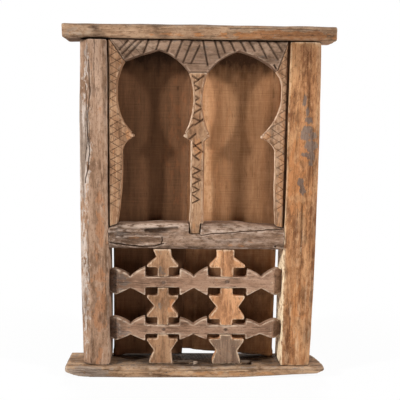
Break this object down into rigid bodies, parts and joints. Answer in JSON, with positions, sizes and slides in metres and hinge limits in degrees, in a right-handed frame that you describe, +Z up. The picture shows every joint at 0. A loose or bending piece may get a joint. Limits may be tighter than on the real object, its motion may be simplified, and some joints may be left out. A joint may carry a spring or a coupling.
{
  "type": "timber window screen with twin horseshoe arches, a star lattice and board shutters",
  "caption": "Old hand-hewn wooden window screen: posts, sill and beam frame a carved twin-arch board above a halved star lattice, with board shutters behind.",
  "frame": {"origin": "middle of the opening and of the sill's depth, on the sill's flat underside", "axes": "+X to the viewer's right along the sill, +Y from the carved face towards the shutters, +Z up"},
  "size_m": [0.544, 0.0808, 0.722],
  "materials": {
    "sill_wood": "dry weathered timber, scratched and grey on top",
    "beam_wood": "dry weathered timber with dark knots",
    "left_post_wood": "hewn timber, brown with a grey outer facet",
    "right_post_wood": "hewn timber, orange brown with grey bare patches",
    "rail_wood": "rounded timber, grey brown and cracked",
    "carved_wood": "carved board, brown with dark grooves",
    "lattice_wood": "sawn lattice timber, brown with pale worn edges",
    "shutter_wood": "planed board, dark brown"
  },
  "bodies": {
    "root": {"sill": "sill_wood", "top_beam": "beam_wood", "left_post": "left_post_wood", "right_post": "right_post_wood", "mid_rail": "rail_wood", "left_jamb": "carved_wood", "right_jamb": "carved_wood", "arch_head": "carved_wood", "colonnette": "carved_wood", "lattice_rail_upper": "lattice_wood", "lattice_rail_lower": "lattice_wood", "lattice_bar_left": "lattice_wood", "lattice_bar_right": "lattice_wood", "left_shutter": "shutter_wood", "right_shutter": "shutter_wood"}
  },
  "joints": []
}
